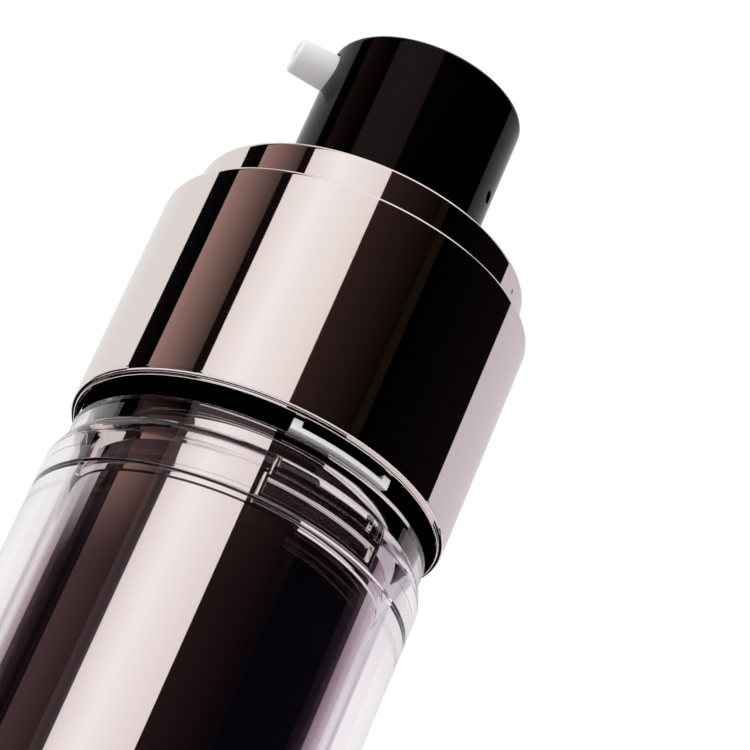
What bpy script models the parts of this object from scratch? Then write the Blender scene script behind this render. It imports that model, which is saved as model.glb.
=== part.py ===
"""Airless pump bottle: clear shell, lift-out refill, pump and push button.

Metres, +Z up. The origin is the centre of the foot. The spout points along -X.
"""

from math import atan2, cos, hypot, pi, radians, sin, sqrt, tau

import bmesh
import bpy
from mathutils import Matrix, Vector

# Round pieces are made with these numbers of sides
BODY_STEPS = 48
INNER_STEPS = 32
SMALL_STEPS = 24
STEM_STEPS = 20
BALL_STEPS = 14
ARC_STEPS = 4
LUG_STEPS = 6
SHARP_ANGLE = radians(28.0)
MERGE = 0.000001

# Clearances shared by all pieces
FIT = 0.0003
RUN = 0.00025
OVERRUN = 0.0020

# Clear outer shell
BODY_RADIUS = 0.0190
SHELL_HEIGHT = 0.1060
SHELL_WALL = 0.0030
SHELL_FLOOR = 0.0060
FOOT_ROUND = 0.0008
FOOT_RING = 0.0035
FOOT_RECESS = 0.0005
VENT_RADIUS = 0.0010
NECK_STEP = 0.00095
NECK_HEIGHT = 0.0027
SHOULDER_HEIGHT = 0.0020
SHOULDER_CREASE = radians(8.0)
MOUTH_STEP = 0.0010
MOUTH_DEPTH = 0.0072
MOUTH_CHAMFER = 0.0003

# Metallised inner bottle
BOTTLE_GAP = 0.0005
BOTTLE_WALL = 0.0022
THROAT_WALL = 0.0009
THROAT_RISE = 0.0070
BAND_DROP = 0.0003
BAND_ROUND = 0.0004
GROOVE_HEIGHT = 0.0004
GROOVE_DEPTH = 0.0003
BEAD_DROP = 0.0030
BEAD_HEIGHT = 0.0010
THROAT_EDGE = 0.0003

# Lugs that seat in the mouth of the shell
LUG_COUNT = 3
LUG_CENTRE = radians(-74.2)
LUG_SPAN = radians(43.8)
TIER_SHIFT = radians(1.6)
TAB_SPAN = radians(4.5)
LUG_HEIGHT = 0.0046
LUG_RAIL = 0.0005
LUG_POCKET = 0.0006
LUG_ROOT = 0.0008

# Base cap of the inner bottle
CAP_FLANGE = 0.0012
CAP_PLUG = 0.0041
CAP_WALL = 0.0012
CAP_VENT_RADIUS = 0.0035

# Follower piston
FOLLOWER_SKIRT = 0.0030
FOLLOWER_RUN = 0.00015
FOLLOWER_WALL = 0.0010
FOLLOWER_LIP = 0.0016
FOLLOWER_WAIST = 0.0006
WELL_GAP = 0.0005

# Pump housing, seated on the gasket over the throat of the bottle
GASKET_HEIGHT = 0.0008
GASKET_WIDTH = 0.0020
FLANGE_HEIGHT = 0.0012
PUMP_BORE = 0.0042
PUMP_WALL = 0.0010
PUMP_RISE = 0.0124
NOSE_RADIUS = 0.0026
NOSE_HEIGHT = 0.0030
INLET_RADIUS = 0.0009

# Stem guide cap on the housing
RETAINER_FLANGE = 0.0008
RETAINER_BRIM = 0.0008
RETAINER_PLUG = 0.0028

# Pump plunger
PRESS_STROKE = 0.0050
STEM_RADIUS = 0.0021
STEM_BORE = 0.0008
STEM_FOOT_HEIGHT = 0.0009
PISTON_HEIGHT = 0.0047
PISTON_RUN = 0.0001
PISTON_LIP = 0.0009
PISTON_WAIST = 0.0008

# Ball valves
INLET_BALL_RADIUS = 0.0015
INLET_LIFT = 0.0007
OUTLET_BALL_RADIUS = 0.0012
OUTLET_LIFT = 0.0006
BALL_GAP = 0.0001
BALL_SIDE_GAP = 0.0003

# Spring seat that holds the inlet ball down
CAGE_PLATE = 0.0010
CAGE_BOSS_HEIGHT = 0.0012
CAGE_HOLE = 0.0009
CAGE_SLOTS = 4
CAGE_SLOT_WIDTH = 0.0006
CAGE_SLOT_REACH = 0.0019

# Return spring
WIRE_RADIUS = 0.00025
SPRING_SIDE_GAP = 0.0004
SPRING_CLOSED = 0.0049
SPRING_TURNS = 6
TURN_POINTS = 10

# White closure
CLOSURE_PLATE = 0.0012
CLOSURE_WALL = 0.0011
HOOK_HEIGHT = 0.0008

# Keys of the closure, which show white in the notches of the sleeve
KEY_COUNT = 3
KEY_CENTRE = radians(-78.0)
KEY_SPAN = radians(36.5)
KEY_HEIGHT = 0.0007
KEY_END = 0.0010
KEY_END_RISE = 0.0006
KEY_INSET = 0.0001

# Black collar sleeve
SLEEVE_WALL = 0.0012
SLEEVE_PLATE = 0.0012
SLEEVE_STEP = 0.0012
CHIMNEY_WALL = 0.0010
CHIMNEY_DEPTH = 0.0080

# Outer collar and the step ring above it
COLLAR_LIFT = 0.0019
COLLAR_HEIGHT = 0.0235
COLLAR_WALL = 0.0007
COLLAR_EDGE = 0.0003
RING_STEP = 0.0020
RING_HEIGHT = 0.0045
RING_WALL = 0.0010
RING_EDGE = 0.0003
RING_FLANGE = 0.0005
DOT_RADIUS = 0.00025
DOT_DEPTH = 0.0003
DOT_HEIGHT = 0.0025
DOT_ANGLE = radians(-36.4)

# Push button
BUTTON_RADIUS = 0.0101
BUTTON_WALL = 0.0012
BUTTON_PLATE = 0.0010
BUTTON_RISE = 0.0187
BUTTON_SKIRT = 0.0080
BUTTON_ROUND = 0.0006
DIMPLE_RADIUS = 0.0007
DIMPLE_DEPTH = 0.0004
DIMPLE_DROP = 0.0096
DIMPLE_ANGLE = radians(-28.0)

# Core of the button
CORE_WALL = 0.0011
CORE_FLANGE = 0.0010
SOCKET_DEPTH = 0.0075
SOCKET_CLEAR = 0.0013
CHANNEL_RADIUS = 0.0008
BOSS_WALL = 0.00035
BOSS_COVER = 0.0001

# Spout
SPOUT_REACH = 0.0039
SPOUT_ROOT_RADIUS = 0.00205
SPOUT_TIP_RADIUS = 0.00185
SPOUT_ROUND = 0.0004
SPOUT_BORE = 0.0006
SPOUT_MOUTH = 0.0010
SPOUT_MOUTH_DEPTH = 0.0008
SPIGOT_RADIUS = 0.0010
SPIGOT_LENGTH = 0.0022

# Radii that follow from the sizes above
SHELL_BORE = BODY_RADIUS - SHELL_WALL
NECK_RADIUS = BODY_RADIUS - NECK_STEP
MOUTH_RADIUS = SHELL_BORE + MOUTH_STEP
BOTTLE_RADIUS = SHELL_BORE - BOTTLE_GAP
BOTTLE_BORE = BOTTLE_RADIUS - BOTTLE_WALL
THROAT_RADIUS = BOTTLE_BORE + THROAT_WALL
LUG_RADIUS = MOUTH_RADIUS - FIT
COLLAR_BORE = BODY_RADIUS - COLLAR_WALL
SLEEVE_RADIUS = COLLAR_BORE - FIT
SLEEVE_BORE = SLEEVE_RADIUS - SLEEVE_WALL
CLOSURE_RADIUS = SLEEVE_BORE - FIT
CLOSURE_BORE = CLOSURE_RADIUS - CLOSURE_WALL
KEY_RADIUS = SLEEVE_RADIUS - KEY_INSET
BEAD_RADIUS = CLOSURE_BORE - FIT
PUMP_RADIUS = PUMP_BORE + PUMP_WALL
WELL_RADIUS = PUMP_RADIUS + WELL_GAP
BALL_BORE = INLET_BALL_RADIUS + BALL_SIDE_GAP
RING_RADIUS = BODY_RADIUS - RING_STEP
BUTTON_BORE = BUTTON_RADIUS - BUTTON_WALL
BUTTON_HOLE = BUTTON_RADIUS + RUN
SOCKET_BORE = STEM_RADIUS + RUN
CORE_RADIUS = SOCKET_BORE + CORE_WALL
SPOUT_SEAT = BUTTON_BORE - FIT
SPOUT_TIP = BUTTON_RADIUS + SPOUT_REACH
BOSS_END = SPOUT_SEAT - FIT
BOSS_BORE = SPIGOT_RADIUS + FIT
BOSS_RADIUS = BOSS_BORE + BOSS_WALL
SPRING_REACH = PUMP_BORE - SPRING_SIDE_GAP
SPRING_RADIUS = SPRING_REACH - WIRE_RADIUS

# Heights from the foot up
LEDGE_Z = SHELL_HEIGHT - MOUTH_DEPTH
BAND_TOP = SHELL_HEIGHT - BAND_DROP
BOTTLE_BASE = SHELL_FLOOR + FIT
TUBE_BASE = BOTTLE_BASE + CAP_FLANGE + FIT
BOTTLE_TOP = SHELL_HEIGHT + THROAT_RISE
FOLLOWER_BASE = BOTTLE_BASE + CAP_FLANGE + CAP_PLUG + FIT
GASKET_BASE = BOTTLE_TOP + FIT
FLANGE_BASE = GASKET_BASE + GASKET_HEIGHT + FIT
FLANGE_TOP = FLANGE_BASE + FLANGE_HEIGHT
PLATE_BASE = FLANGE_TOP + FIT
PLATE_TOP = PLATE_BASE + CLOSURE_PLATE
PUMP_TOP = FLANGE_TOP + PUMP_RISE
RETAINER_BASE = PUMP_TOP + FIT
PLUG_BASE = RETAINER_BASE - RETAINER_PLUG
PISTON_TOP = PLUG_BASE - FIT
PISTON_BASE = PISTON_TOP - PISTON_HEIGHT
STEM_FOOT_TOP = PISTON_BASE - FIT
STEM_BASE = STEM_FOOT_TOP - STEM_FOOT_HEIGHT
COLLAR_BASE = SHELL_HEIGHT + COLLAR_LIFT
COLLAR_TOP = COLLAR_BASE + COLLAR_HEIGHT
RING_TOP = COLLAR_TOP + RING_HEIGHT
RING_FLANGE_TOP = COLLAR_TOP - COLLAR_WALL - FIT
RING_BASE = RING_FLANGE_TOP - RING_FLANGE
SLEEVE_TOP = RING_BASE - FIT
SLEEVE_BASE = SHELL_HEIGHT + FIT
CLOSURE_BASE = SHELL_HEIGHT + FIT
BUTTON_TOP = RING_TOP + BUTTON_RISE
BUTTON_CEILING = BUTTON_TOP - BUTTON_PLATE
BUTTON_BASE = RING_TOP - BUTTON_SKIRT
CORE_TOP = BUTTON_CEILING - FIT
SPOUT_Z = CORE_TOP - BOSS_COVER - BOSS_RADIUS
SOCKET_BASE = RETAINER_BASE + RETAINER_FLANGE + PRESS_STROKE + SOCKET_CLEAR
STEM_TOP = SOCKET_BASE + SOCKET_DEPTH

# The spring fills the space of the closed coils and the stroke, a fit away from its seats
SPRING_TOP = STEM_BASE - FIT
SPRING_BASE = SPRING_TOP - PRESS_STROKE - SPRING_CLOSED
CAGE_BASE = SPRING_BASE - FIT - CAGE_PLATE
BALL_CEILING = CAGE_BASE - BALL_GAP
INLET_BALL_Z = BALL_CEILING - INLET_LIFT - INLET_BALL_RADIUS
PUMP_LEDGE = CAGE_BASE - FIT
OUTLET_BALL_Z = STEM_TOP - OUTLET_LIFT - OUTLET_BALL_RADIUS
NOSE_TOP = PUMP_LEDGE - PUMP_WALL
NOSE_BASE = NOSE_TOP - NOSE_HEIGHT
WELL_DEPTH = BOTTLE_TOP - NOSE_BASE + WELL_GAP
WELL_FLOOR = FOLLOWER_BASE + FOLLOWER_SKIRT
FOLLOWER_TOP = WELL_FLOOR + WELL_DEPTH
SEAT_OFFSET = sqrt(2.0)

for old in list(bpy.data.objects):
    bpy.data.objects.remove(old)
PIECES = bpy.data.collections.new("lotion_bottle")
TOOLS = bpy.data.collections.new("cutters")
bpy.context.scene.collection.children.link(PIECES)
bpy.context.scene.collection.children.link(TOOLS)


def arc(centre, radius, start, end, steps=ARC_STEPS):
    """Points of a circular arc in the (radius, height) plane, both ends included."""
    angles = [start + (end - start) * i / steps for i in range(steps + 1)]
    return [(centre[0] + radius * cos(a), centre[1] + radius * sin(a)) for a in angles]


def seat_height(ball_z, ball_radius, radius):
    """Height of a 45 degree ball seat at a radius, a hair clear of the ball."""
    return ball_z - (ball_radius + BALL_GAP) * SEAT_OFFSET + radius


def material(name, colour, roughness, metallic=0.0, alpha=1.0):
    """A Principled material in the part's own colour."""
    made = bpy.data.materials.new(name)
    made.use_nodes = True
    made.diffuse_color = (*colour, alpha)
    shader = made.node_tree.nodes["Principled BSDF"]
    shader.inputs["Base Color"].default_value = (*colour, 1.0)
    shader.inputs["Roughness"].default_value = roughness
    shader.inputs["Metallic"].default_value = metallic
    shader.inputs["Alpha"].default_value = alpha
    return made


def add(name, mesh, finish, parent=None):
    """Put a mesh in the bottle's collection, on its moving group if it has one."""
    part = bpy.data.objects.new(name, mesh)
    PIECES.objects.link(part)
    mesh.materials.append(finish)
    if parent:
        hang(part, parent)
    return part


def hang(child, parent):
    """Parent a child without moving it."""
    bpy.context.view_layer.update()
    child.parent = parent
    child.matrix_parent_inverse = parent.matrix_world.inverted()


def cutter(name, mesh):
    """A guide solid that is left out of the bottle."""
    tool = bpy.data.objects.new(name, mesh)
    TOOLS.objects.link(tool)
    tool.hide_render = True
    tool.display_type = "WIRE"
    return tool


def lathe(name, outline, finish, steps, parent=None):
    """Turn a (radius, height) outline about Z; its outer side runs from top to bottom."""
    mesh = bpy.data.meshes.new(name)
    points = [(radius, 0.0, height) for radius, height in outline]
    edges = [(i, i + 1) for i in range(len(points) - 1)]
    if outline[0][0] > 0.0:
        edges.append((len(points) - 1, 0))
    mesh.from_pydata(points, edges, [])
    part = add(name, mesh, finish, parent)
    turn = part.modifiers.new("Turn", "SCREW")
    turn.steps = steps
    turn.render_steps = steps
    turn.use_merge_vertices = True
    turn.merge_threshold = MERGE
    return part


def ball(name, radius, height, finish, parent):
    """A valve ball on the axis."""
    mesh = bpy.data.meshes.new(name)
    shape = bmesh.new()
    bmesh.ops.create_uvsphere(shape, u_segments=BALL_STEPS, v_segments=BALL_STEPS // 2, radius=radius)
    shape.to_mesh(mesh)
    shape.free()
    part = add(name, mesh, finish, parent)
    part.location = (0.0, 0.0, height)
    return part


def rod(name, radius, start, end, height, angle, steps=SMALL_STEPS):
    """A round cutter along a radial line, between two distances from the axis."""
    mesh = bpy.data.meshes.new(name)
    shape = bmesh.new()
    along = Matrix.Rotation(angle, 4, "Z") @ Matrix.Rotation(pi / 2, 4, "Y")
    middle = Vector(((start + end) / 2 * cos(angle), (start + end) / 2 * sin(angle), height))
    bmesh.ops.create_cone(shape, cap_ends=True, segments=steps, radius1=radius, radius2=radius,
                          depth=end - start, matrix=Matrix.Translation(middle) @ along)
    shape.to_mesh(mesh)
    shape.free()
    return cutter(name, mesh)


def sector(name, inner, outer, low, high, centre, span, steps=LUG_STEPS):
    """A slab in the shape of a piece of a ring."""
    angles = [centre - span / 2 + span * i / steps for i in range(steps + 1)]
    outline = [(outer * cos(a), outer * sin(a)) for a in angles]
    outline += [(inner * cos(a), inner * sin(a)) for a in reversed(angles)]
    return slab(name, outline, low, high)


def slab(name, outline, low, high):
    """A flat outline given thickness between two heights, as a closed cutter."""
    curve = bpy.data.curves.new(name, "CURVE")
    curve.dimensions = "2D"
    curve.fill_mode = "BOTH"
    curve.extrude = (high - low) / 2
    spline = curve.splines.new("POLY")
    spline.points.add(len(outline) - 1)
    for point, (x, y) in zip(spline.points, outline):
        point.co = (x, y, 0.0, 1.0)
    spline.use_cyclic_u = True
    guide = bpy.data.objects.new(name + "_outline", curve)
    TOOLS.objects.link(guide)
    guide.location = (0.0, 0.0, (low + high) / 2)
    bpy.context.view_layer.update()
    mesh = solid_mesh(guide)
    tool = cutter(name, mesh)
    tool.matrix_world = guide.matrix_world
    bpy.data.objects.remove(guide)
    return tool


def solid_mesh(source):
    """The welded mesh of a curve object, with its faces pointing out."""
    graph = bpy.context.evaluated_depsgraph_get()
    mesh = bpy.data.meshes.new_from_object(source.evaluated_get(graph))
    shape = bmesh.new()
    shape.from_mesh(mesh)
    bmesh.ops.remove_doubles(shape, verts=shape.verts, dist=MERGE)
    bmesh.ops.recalc_face_normals(shape, faces=shape.faces)
    shape.to_mesh(mesh)
    shape.free()
    return mesh


def combine(part, tool, operation):
    """Cut the tool out of the part, or join it on."""
    step = part.modifiers.new(tool.name, "BOOLEAN")
    step.operation = operation
    step.solver = "EXACT"
    step.object = tool


def cut(part, tool):
    combine(part, tool, "DIFFERENCE")


def join(part, tool):
    combine(part, tool, "UNION")


def group(name, height, parent=None):
    """An empty on the axis that carries one moving group."""
    empty = bpy.data.objects.new(name, None)
    PIECES.objects.link(empty)
    empty.location = (0.0, 0.0, height)
    if parent:
        hang(empty, parent)
    return empty


def outer_shell(finish):
    shoulder_low = SHELL_HEIGHT - NECK_HEIGHT - SHOULDER_HEIGHT
    chord = atan2(NECK_STEP, SHOULDER_HEIGHT)
    bend = hypot(NECK_STEP, SHOULDER_HEIGHT) / (2 * sin(chord - SHOULDER_CREASE))
    centre = (BODY_RADIUS - bend * cos(SHOULDER_CREASE), shoulder_low - bend * sin(SHOULDER_CREASE))
    shoulder = arc(centre, bend, 2 * chord - SHOULDER_CREASE, SHOULDER_CREASE)
    foot = arc((BODY_RADIUS - FOOT_ROUND, FOOT_ROUND), FOOT_ROUND, 0.0, -pi / 2)
    foot_inner = BODY_RADIUS - FOOT_ROUND - FOOT_RING
    outline = [
        (MOUTH_RADIUS + MOUTH_CHAMFER, SHELL_HEIGHT),
        (NECK_RADIUS - MOUTH_CHAMFER, SHELL_HEIGHT),
        (NECK_RADIUS, SHELL_HEIGHT - MOUTH_CHAMFER),
        *shoulder,
        *foot,
        (foot_inner, 0.0),
        (foot_inner - FOOT_RECESS, FOOT_RECESS),
        (VENT_RADIUS, FOOT_RECESS),
        (VENT_RADIUS, SHELL_FLOOR),
        (SHELL_BORE, SHELL_FLOOR),
        (SHELL_BORE, LEDGE_Z),
        (MOUTH_RADIUS, LEDGE_Z),
        (MOUTH_RADIUS, SHELL_HEIGHT - MOUTH_CHAMFER),
    ]
    return lathe("outer_shell", outline, finish, BODY_STEPS)


def inner_bottle(finish, parent):
    bead_top = BOTTLE_TOP - BEAD_DROP
    bead_low = bead_top - BEAD_HEIGHT
    groove_low = LEDGE_Z + FIT
    groove_top = groove_low + GROOVE_HEIGHT
    band = arc((BOTTLE_RADIUS - BAND_ROUND, BAND_TOP - BAND_ROUND), BAND_ROUND, pi / 2, 0.0)
    outline = [
        (THROAT_RADIUS - THROAT_EDGE, BOTTLE_TOP),
        (THROAT_RADIUS, BOTTLE_TOP - THROAT_EDGE),
        (THROAT_RADIUS, bead_top + BEAD_RADIUS - THROAT_RADIUS),
        (BEAD_RADIUS, bead_top),
        (BEAD_RADIUS, bead_low),
        (THROAT_RADIUS, bead_low),
        (THROAT_RADIUS, BAND_TOP),
        *band,
        (BOTTLE_RADIUS, groove_top),
        (BOTTLE_RADIUS - GROOVE_DEPTH, groove_top),
        (BOTTLE_RADIUS - GROOVE_DEPTH, groove_low),
        (BOTTLE_RADIUS, groove_low),
        (BOTTLE_RADIUS, TUBE_BASE),
        (BOTTLE_BORE, TUBE_BASE),
        (BOTTLE_BORE, BOTTLE_TOP),
    ]
    bottle = lathe("inner_bottle", outline, finish, BODY_STEPS, parent)
    for turn in range(LUG_COUNT):
        add_lug(bottle, LUG_CENTRE + turn * tau / LUG_COUNT, turn)
    return bottle


def add_lug(bottle, centre, turn):
    """A raised frame in two tiers, with an end tab, standing on the ledge of the shell."""
    low = LEDGE_Z + FIT
    middle = low + LUG_HEIGHT / 2
    high = low + LUG_HEIGHT
    root = BOTTLE_RADIUS - LUG_ROOT
    rail = LUG_RAIL / LUG_RADIUS
    floor = LUG_RADIUS - LUG_POCKET
    past = LUG_RADIUS + OVERRUN
    lower_centre = centre - TIER_SHIFT / 2
    lower_span = LUG_SPAN + TIER_SHIFT
    join(bottle, sector(f"lug_upper_{turn}", root, LUG_RADIUS, middle, high, centre, LUG_SPAN))
    join(bottle, sector(f"lug_lower_{turn}", root, LUG_RADIUS, low, middle + LUG_RAIL / 2,
                        lower_centre, lower_span))
    upper_span = LUG_SPAN - TAB_SPAN - 2 * rail
    cut(bottle, sector(f"pocket_upper_{turn}", floor, past, middle + LUG_RAIL, high - LUG_RAIL,
                       centre - TAB_SPAN / 2, upper_span))
    cut(bottle, sector(f"pocket_tab_{turn}", floor, past, middle + LUG_RAIL, high + OVERRUN,
                       centre + LUG_SPAN / 2 - TAB_SPAN / 2, TAB_SPAN - rail))
    cut(bottle, sector(f"pocket_lower_{turn}", floor, past, low + LUG_RAIL, middle - LUG_RAIL / 2,
                       lower_centre, lower_span - 2 * rail))


def bottle_base_cap(finish, parent):
    plug = BOTTLE_BORE - FIT
    flange_top = BOTTLE_BASE + CAP_FLANGE
    outline = [
        (plug, flange_top + CAP_PLUG),
        (plug, flange_top),
        (BOTTLE_RADIUS, flange_top),
        (BOTTLE_RADIUS, BOTTLE_BASE),
        (CAP_VENT_RADIUS, BOTTLE_BASE),
        (CAP_VENT_RADIUS, BOTTLE_BASE + CAP_WALL),
        (plug - CAP_WALL, BOTTLE_BASE + CAP_WALL),
        (plug - CAP_WALL, flange_top + CAP_PLUG),
    ]
    return lathe("bottle_base_cap", outline, finish, INNER_STEPS, parent)


def follower_piston(finish, parent):
    """A wiper piston whose well takes in the nose of the pump at the end of its travel."""
    lip = BOTTLE_BORE - FOLLOWER_RUN
    waist = lip - FOLLOWER_WAIST
    ceiling = FOLLOWER_TOP - FOLLOWER_WALL
    outline = [
        (0.0, WELL_FLOOR),
        (WELL_RADIUS, WELL_FLOOR),
        (WELL_RADIUS, FOLLOWER_TOP),
        (lip - FOLLOWER_WAIST, FOLLOWER_TOP),
        (lip, FOLLOWER_TOP - FOLLOWER_WAIST),
        (lip, FOLLOWER_TOP - FOLLOWER_LIP),
        (waist, FOLLOWER_TOP - FOLLOWER_LIP - FOLLOWER_WAIST),
        (waist, FOLLOWER_BASE + FOLLOWER_LIP),
        (lip, FOLLOWER_BASE + FOLLOWER_LIP - FOLLOWER_WAIST),
        (lip, FOLLOWER_BASE),
        (waist - FOLLOWER_WALL, FOLLOWER_BASE),
        (waist - FOLLOWER_WALL, ceiling),
        (WELL_RADIUS + FOLLOWER_WALL, ceiling),
        (WELL_RADIUS + FOLLOWER_WALL, WELL_FLOOR - FOLLOWER_WALL),
        (0.0, WELL_FLOOR - FOLLOWER_WALL),
    ]
    return lathe("follower_piston", outline, finish, BODY_STEPS, parent)


def neck_gasket(finish, parent):
    inner = THROAT_RADIUS - GASKET_WIDTH
    top = GASKET_BASE + GASKET_HEIGHT
    outline = [(inner, top), (THROAT_RADIUS, top), (THROAT_RADIUS, GASKET_BASE), (inner, GASKET_BASE)]
    return lathe("neck_gasket", outline, finish, INNER_STEPS, parent)


def pump_housing(finish, parent):
    flange = CLOSURE_BORE - FIT
    outline = [
        (PUMP_RADIUS, PUMP_TOP),
        (PUMP_RADIUS, FLANGE_TOP),
        (flange, FLANGE_TOP),
        (flange, FLANGE_BASE),
        (PUMP_RADIUS, FLANGE_BASE),
        (PUMP_RADIUS, NOSE_TOP),
        (NOSE_RADIUS, NOSE_BASE),
        (INLET_RADIUS, NOSE_BASE),
        (INLET_RADIUS, seat_height(INLET_BALL_Z, INLET_BALL_RADIUS, INLET_RADIUS)),
        (BALL_BORE, seat_height(INLET_BALL_Z, INLET_BALL_RADIUS, BALL_BORE)),
        (BALL_BORE, PUMP_LEDGE),
        (PUMP_BORE, PUMP_LEDGE),
        (PUMP_BORE, PUMP_TOP),
    ]
    return lathe("pump_housing", outline, finish, INNER_STEPS, parent)


def ball_retainer(finish, parent):
    """Spring seat with a cross of slots, so that the lifted ball lets the lotion past."""
    rim = PUMP_BORE - FIT
    boss = SPRING_RADIUS - WIRE_RADIUS - FIT
    plate_top = CAGE_BASE + CAGE_PLATE
    boss_top = plate_top + CAGE_BOSS_HEIGHT
    outline = [
        (CAGE_HOLE, boss_top),
        (boss, boss_top),
        (boss, plate_top),
        (rim, plate_top),
        (rim, CAGE_BASE),
        (CAGE_HOLE, CAGE_BASE),
    ]
    cage = lathe("ball_retainer", outline, finish, SMALL_STEPS, parent)
    low = CAGE_BASE - OVERRUN
    high = boss_top + OVERRUN
    half = CAGE_SLOT_WIDTH / 2
    for turn in range(CAGE_SLOTS // 2):
        angle = turn * tau / CAGE_SLOTS
        corners = [(-CAGE_SLOT_REACH, -half), (CAGE_SLOT_REACH, -half),
                   (CAGE_SLOT_REACH, half), (-CAGE_SLOT_REACH, half)]
        outline = [(x * cos(angle) - y * sin(angle), x * sin(angle) + y * cos(angle)) for x, y in corners]
        cut(cage, slab(f"cage_slot_{turn}", outline, low, high))
    return cage


def stem_retainer(finish, parent):
    brim = PUMP_RADIUS + RETAINER_BRIM
    top = RETAINER_BASE + RETAINER_FLANGE
    plug = PUMP_BORE - FIT
    guide = STEM_RADIUS + RUN
    outline = [(guide, top), (brim, top), (brim, RETAINER_BASE), (plug, RETAINER_BASE),
               (plug, PLUG_BASE), (guide, PLUG_BASE)]
    return lathe("stem_retainer", outline, finish, INNER_STEPS, parent)


def closure(finish, parent):
    hole = PUMP_RADIUS + FIT
    hook = THROAT_RADIUS + FIT
    hook_top = BOTTLE_TOP - BEAD_DROP - BEAD_HEIGHT - FIT
    hook_low = hook_top - HOOK_HEIGHT
    outline = [
        (hole, PLATE_TOP),
        (CLOSURE_RADIUS, PLATE_TOP),
        (CLOSURE_RADIUS, CLOSURE_BASE),
        (CLOSURE_BORE, CLOSURE_BASE),
        (CLOSURE_BORE, hook_low - CLOSURE_BORE + hook),
        (hook, hook_low),
        (hook, hook_top),
        (CLOSURE_BORE, hook_top),
        (CLOSURE_BORE, PLATE_BASE),
        (hole, PLATE_BASE),
    ]
    cap = lathe("closure", outline, finish, BODY_STEPS, parent)
    root = (CLOSURE_BORE + CLOSURE_RADIUS) / 2
    for turn in range(KEY_COUNT):
        for index, (low, high, centre, span, steps) in enumerate(key_blocks(turn, 0.0)):
            join(cap, sector(f"key_{turn}_{index}", root, KEY_RADIUS, low, high, centre, span, steps))
    return cap


def key_blocks(turn, gap):
    """A key's bar and its two raised ends, as (low, high, centre, span, steps), grown by a gap."""
    middle = KEY_CENTRE + turn * tau / KEY_COUNT
    spread = 2 * gap / KEY_RADIUS
    end_span = KEY_END / KEY_RADIUS
    offset = (KEY_SPAN - end_span) / 2
    top = CLOSURE_BASE + KEY_HEIGHT + gap
    bar = (CLOSURE_BASE, top, middle, KEY_SPAN + spread - end_span, LUG_STEPS)
    ends = [(CLOSURE_BASE, top + KEY_END_RISE, middle + side * offset, end_span + spread, 1) for side in (-1, 1)]
    return [bar, *ends]


def collar_sleeve(finish, parent):
    """Black sleeve with a seat on the closure, a guide for the button and notches for the keys."""
    seat = PLATE_TOP + FIT
    ceiling = SLEEVE_TOP - SLEEVE_PLATE
    outline = [
        (BUTTON_HOLE, SLEEVE_TOP),
        (SLEEVE_RADIUS, SLEEVE_TOP),
        (SLEEVE_RADIUS, SLEEVE_BASE),
        (SLEEVE_BORE, SLEEVE_BASE),
        (SLEEVE_BORE, seat),
        (SLEEVE_BORE - SLEEVE_STEP, seat),
        (SLEEVE_BORE - SLEEVE_STEP, ceiling),
        (BUTTON_HOLE + CHIMNEY_WALL, ceiling),
        (BUTTON_HOLE + CHIMNEY_WALL, ceiling - CHIMNEY_DEPTH),
        (BUTTON_HOLE, ceiling - CHIMNEY_DEPTH),
    ]
    sleeve = lathe("collar_sleeve", outline, finish, BODY_STEPS, parent)
    inner = SLEEVE_BORE - FIT / 2
    outer = SLEEVE_RADIUS + FIT / 2
    for turn in range(KEY_COUNT):
        for index, (low, high, centre, span, steps) in enumerate(key_blocks(turn, FIT)):
            cut(sleeve, sector(f"notch_{turn}_{index}", inner, outer, low - FIT, high, centre, span, steps))
    return sleeve


def outer_collar(finish, parent):
    hole = RING_RADIUS + FIT
    rim = COLLAR_WALL / 2
    outline = [
        (hole, COLLAR_TOP),
        (BODY_RADIUS - COLLAR_EDGE, COLLAR_TOP),
        (BODY_RADIUS, COLLAR_TOP - COLLAR_EDGE),
        *arc((BODY_RADIUS - rim, COLLAR_BASE + rim), rim, 0.0, -pi),
        (COLLAR_BORE, COLLAR_TOP - COLLAR_WALL),
        (hole, COLLAR_TOP - COLLAR_WALL),
    ]
    return lathe("outer_collar", outline, finish, BODY_STEPS, parent)


def cap_ring(finish, parent):
    inner = RING_RADIUS - RING_WALL
    plate = RING_TOP - RING_WALL
    outline = [
        (BUTTON_HOLE, RING_TOP),
        (RING_RADIUS - RING_EDGE, RING_TOP),
        (RING_RADIUS, RING_TOP - RING_EDGE),
        (RING_RADIUS, RING_FLANGE_TOP),
        (SLEEVE_RADIUS, RING_FLANGE_TOP),
        (SLEEVE_RADIUS, RING_BASE),
        (inner, RING_BASE),
        (inner, plate),
        (BUTTON_HOLE, plate),
    ]
    ring = lathe("cap_ring", outline, finish, BODY_STEPS, parent)
    dot = rod("ring_dot", DOT_RADIUS, RING_RADIUS - DOT_DEPTH, RING_RADIUS + OVERRUN,
              COLLAR_TOP + DOT_HEIGHT, DOT_ANGLE, BALL_STEPS)
    cut(ring, dot)
    return ring


def stem(finish, parent):
    """Hollow plunger with a foot for the spring and a seat for the outlet ball."""
    chamber = OUTLET_BALL_RADIUS + BALL_SIDE_GAP
    outline = [
        (STEM_RADIUS, STEM_TOP),
        (STEM_RADIUS, STEM_FOOT_TOP),
        (SPRING_REACH, STEM_FOOT_TOP),
        (SPRING_REACH, STEM_BASE),
        (STEM_BORE, STEM_BASE),
        (STEM_BORE, seat_height(OUTLET_BALL_Z, OUTLET_BALL_RADIUS, STEM_BORE)),
        (chamber, seat_height(OUTLET_BALL_Z, OUTLET_BALL_RADIUS, chamber)),
        (chamber, STEM_TOP),
    ]
    return lathe("stem", outline, finish, STEM_STEPS, parent)


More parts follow.
